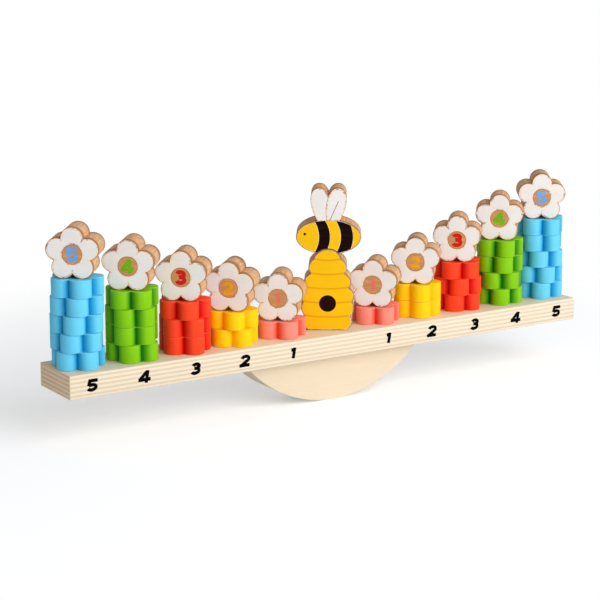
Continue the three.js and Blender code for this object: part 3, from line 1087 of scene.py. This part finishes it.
# Bee: a thick token with an oval body and two drop-shaped wings, laser cut as one piece.
# A round notch below sits over the hive's dome, so that the bee can be lifted off.
# The faces are painted in separate fields with narrow lines between them.
BEE_LENGTH = 0.0432
BEE_HEIGHT = 0.0236
BEE_SHIFT = 0.0005
NOTCH_DEPTH = 0.004
NOTCH_GAP = 0.0003
NOTCH_RIM = 0.0002
WING_LENGTH = 0.0296
WING_ROOT_PULL = 0.0081
WING_ROOT_RISE = 0.0089
WING_TIP_PULL = 0.0092
WING_ROOT = 0.004
WING_ROOT_SPREAD = 0.0012
WING_LEAN = 12
WING_STEPS = 28
BEE_STEPS = 120
BAND_STEPS = 20
BEE_SCORCH = 0.00035
BEE_RIM = 0.0007
WING_RIM = 0.0014
FIELD_GAP = 0.00045
# Painted details, with their places measured from the middle of the body.
BAND_CURVE = 0.020
BLACK_BANDS = ((-0.0062, 0.0010), (0.0083, 0.0163))
EYE_PLACE = (-0.0157, 0.0020)
EYE_RADIUS = 0.0009
EYE_STEPS = 24
VEIN = ((0.0008, 0.0113), (0.0065, 0.0240))
VEIN_WIDTH = 0.0005
BEE_BLACK = (22, 8, 7)
BLACK_STREAK = (50, 26, 22)
VEIN_GREY = (140, 118, 104)
PALE_LINE = (252, 224, 140)

bee_middle = hive_height + NOTCH_GAP - NOTCH_DEPTH + BEE_HEIGHT / 2


def bee_body(inset):
    """The oval of the bee's body, drawn in by inset."""
    points = []
    for x, y in circle(1.0, steps=BEE_STEPS):
        points.append((BEE_SHIFT + x * (BEE_LENGTH / 2 - inset), bee_middle + y * (BEE_HEIGHT / 2 - inset)))
    return points


def wing(side, inset):
    """One wing, narrow at its root, round at its tip and leaning outwards, drawn in by inset."""
    root = Vector((0, inset))
    tip = Vector((0, WING_LENGTH - inset))
    root_pull = Vector((WING_ROOT_PULL - inset, WING_ROOT_RISE))
    tip_pull = Vector((WING_TIP_PULL - inset, WING_LENGTH - inset))
    edge = []
    for step in range(WING_STEPS + 1):
        t = step / WING_STEPS
        point = (1 - t) ** 3 * root + 3 * t * (1 - t) ** 2 * root_pull
        edge.append(point + 3 * t**2 * (1 - t) * tip_pull + t**3 * tip)
    outline = edge + [Vector((-p.x, p.y)) for p in reversed(edge[1:-1])]
    lean = Matrix.Rotation(-side * math.radians(WING_LEAN), 2)
    foot = Vector((BEE_SHIFT + side * WING_ROOT_SPREAD, bee_middle + WING_ROOT))
    return [foot + lean @ p for p in outline]


def band(left, right):
    """A field across the body between two lines that bulge towards the tail."""
    turn = math.asin(BEE_HEIGHT / 2 / BAND_CURVE)
    bulge = []
    for step in range(2 * BAND_STEPS + 1):
        t = turn * (step / BAND_STEPS - 1)
        along = BEE_SHIFT + BAND_CURVE * (math.cos(t) - 1)
        bulge.append(Vector((along, bee_middle + BAND_CURVE * math.sin(t))))
    far = [point + Vector((right, 0)) for point in bulge]
    near = [point + Vector((left, 0)) for point in bulge]
    return far + near[::-1]


dome_middle = (0, hive_height - dome_radius)
bee_shapes = {
    "body": bee_body(0),
    "left_wing": wing(-1, 0),
    "right_wing": wing(1, 0),
    "notch": circle(dome_radius + NOTCH_GAP, dome_middle),
}
bee_wood = token_blank(bee_shapes, lambda over: over and "notch" not in over, hive_half)

field_shapes = {
    "bare_body": bee_body(BEE_SCORCH),
    "bare_left_wing": wing(-1, BEE_SCORCH),
    "bare_right_wing": wing(1, BEE_SCORCH),
    "body": bee_body(BEE_RIM),
    "whole_body": bee_body(-FIELD_GAP),
    "left_wing": wing(-1, WING_RIM),
    "right_wing": wing(1, WING_RIM),
    "whole_right_wing": wing(1, 0),
    "notch": circle(dome_radius + NOTCH_GAP + NOTCH_RIM, dome_middle),
    "eye": circle(EYE_RADIUS, (BEE_SHIFT + EYE_PLACE[0], bee_middle + EYE_PLACE[1]), EYE_STEPS),
    "vein": pen_line([(BEE_SHIFT + x, bee_middle + y) for x, y in VEIN], VEIN_WIDTH),
}
for i, (left, right) in enumerate(BLACK_BANDS):
    field_shapes[f"black{i}"] = band(left, right)
    field_shapes[f"gap{i}"] = band(left - FIELD_GAP, right + FIELD_GAP)


# Each of these tells from the names of the shapes over a spot whether one field of the face lies there.
def on_body(over):
    return "body" in over and "notch" not in over


def is_black(over):
    return on_body(over) and has(over, "black")


def is_pale_line(over):
    return on_body(over) and has(over, "gap") and not is_black(over)


def is_yellow(over):
    return on_body(over) and "eye" not in over and not has(over, "gap")


def is_wing(over):
    if "whole_body" in over or "vein" in over:
        return False
    return "right_wing" in over or ("left_wing" in over and "whole_right_wing" not in over)


def is_vein(over):
    return "vein" in over and "right_wing" in over and "whole_body" not in over


bee_black = painted("bee_black_paint", BEE_BLACK, streak=BLACK_STREAK, gloss=INK_GLOSS)
vein_paint = painted("wing_vein", VEIN_GREY)
pale_line = painted("pale_line_paint", PALE_LINE)
bee_fields = (
    (is_pale_line, ENGRAVED_DEPTH, pale_line),
    (is_yellow, PAINT_DEPTH, honey_paint),
    (is_black, PAINT_DEPTH, bee_black),
    (is_wing, PAINT_DEPTH, white_paint),
    (lambda over: on_body(over) and "eye" in over, PAINT_DEPTH, bee_black),
    (is_vein, PAINT_DEPTH, vein_paint),
)


def is_bare(over):
    """Wood inside the scorched rim that no paint covers."""
    on_left_wing = "bare_left_wing" in over and "whole_right_wing" not in over
    inside = "bare_body" in over or "bare_right_wing" in over or on_left_wing
    return inside and "notch" not in over and not any(keep(over) for keep, _, _ in bee_fields)


bare_fields = (
    (lambda over: is_bare(over) and "bare_body" in over, ENGRAVED_DEPTH, hive_rim),
    (lambda over: is_bare(over) and "bare_body" not in over, ENGRAVED_DEPTH, bare_rim),
)
bee_faces = face_fields(field_shapes, hive_half, bee_fields + bare_fields, mirrored=True)
bee = joined([bee_wood] + bee_faces)
mark_place(bee, BATCH_STEP)
bee.data.transform(standing(hive_base, hive_front))
finished(bee, "honey_bee", "bee", "honey_yellow", "bee")

# Floor: a pale seamless paper sheet that the game stands on, under a white surround.
# It keeps the soft shadow near the game and runs out into white farther off.
FLOOR_SIZE = 12.0
WHITE_LIGHT = (1, 1, 1, 1)
FLOOR_WHITE = (0.884, 0.9, 0.92, 1)
FLOOR_GLOW = 0.31
NEAR_FLOOR = 0.22
FAR_FLOOR = 0.45
SURROUND_LIGHT = 0.40


def shown_to_camera(tree):
    """1 where the camera looks, straight or through something clear, and 0 for all other light."""
    seen = put(tree, "LightPath", {}).outputs
    return calc(tree, "MAXIMUM", seen["Is Camera Ray"], seen["Is Transmission Ray"])


deselect()
bpy.ops.mesh.primitive_plane_add(size=FLOOR_SIZE, location=(0, 0, cad_box[0].z))
floor = bpy.context.object
floor.name = "floor"
floor_sheet = bpy.data.materials.new("floor_sheet")
floor_sheet.use_nodes = True
tree = floor_sheet.node_tree
tree.nodes.clear()
shown = shown_to_camera(tree)
spot = put(tree, "TexCoord", {}).outputs["Object"]
reach = put(tree, "VectorMath", {0: spot}, operation="LENGTH").outputs["Value"]
far = calc(tree, "MULTIPLY", fade(tree, reach, NEAR_FLOOR, FAR_FLOOR), shown)
matt = put(tree, "BsdfDiffuse", {"Color": FLOOR_WHITE})
glow = put(tree, "Emission", {"Color": WHITE_LIGHT, "Strength": weaken(tree, shown, FLOOR_GLOW)})
near_sheet = put(tree, "AddShader", {0: matt.outputs[0], 1: glow.outputs[0]})
white = put(tree, "Emission", {"Color": WHITE_LIGHT, "Strength": 1.0})
sheet = put(tree, "MixShader", {0: far, 1: near_sheet.outputs[0], 2: white.outputs[0]})
sheet_output = tree.nodes.new("ShaderNodeOutputMaterial")
wire(tree, sheet_output.inputs["Surface"], sheet.outputs[0])
floor.data.materials.append(floor_sheet)

world = bpy.data.worlds.new("studio")
bpy.context.scene.world = world
world.use_nodes = True
tree = world.node_tree
level = calc(tree, "MULTIPLY_ADD", shown_to_camera(tree), 1 - SURROUND_LIGHT, SURROUND_LIGHT)
wire(tree, tree.nodes["Background"].inputs["Color"], WHITE_LIGHT)
wire(tree, tree.nodes["Background"].inputs["Strength"], level)

# Light: a wide soft lamp, fairly low and right of the camera, shapes the petals and makes the shadow.
# A weak lamp behind the camera fills in the shaded sides.
KEY_PLACE = (0.62, -1.55, 0.92)
KEY_SIZE = 1.8
KEY_POWER = 28.5
FILL_PLACE = (-0.6, -1.9, 0.8)
FILL_SIZE = 1.2
FILL_POWER = 7

aim = (cad_box[0] + cad_box[1]) / 2


def lamp(name, place, size, power):
    """A square soft lamp that looks at the middle of the game."""
    deselect()
    bpy.ops.object.light_add(type="AREA", location=place)
    light = bpy.context.object
    light.name = name
    light.data.size = size
    light.data.energy = power
    light.rotation_euler = (aim - light.location).to_track_quat("-Z", "Y").to_euler()


lamp("key_lamp", KEY_PLACE, KEY_SIZE, KEY_POWER)
lamp("fill_lamp", FILL_PLACE, FILL_SIZE, FILL_POWER)
bpy.context.scene.view_settings.view_transform = "Standard"

# Camera: a long lens that looks from the front left and a little above, as in the photograph.
# It is placed where the plank's corners and the stacks fall as they do there.
CAMERA_PLACE = (-0.7071, -1.08075, 0.36485)
CAMERA_YAW = 32.45
CAMERA_PITCH = 13.03
CAMERA_LENS = 118.3
CAMERA_SENSOR = 36

deselect()
bpy.ops.object.camera_add(
    location=CAMERA_PLACE,
    rotation=(math.radians(90 - CAMERA_PITCH), 0, -math.radians(CAMERA_YAW)),
)
camera = bpy.context.object
camera.data.lens = CAMERA_LENS
camera.data.sensor_width = CAMERA_SENSOR
bpy.context.scene.camera = camera
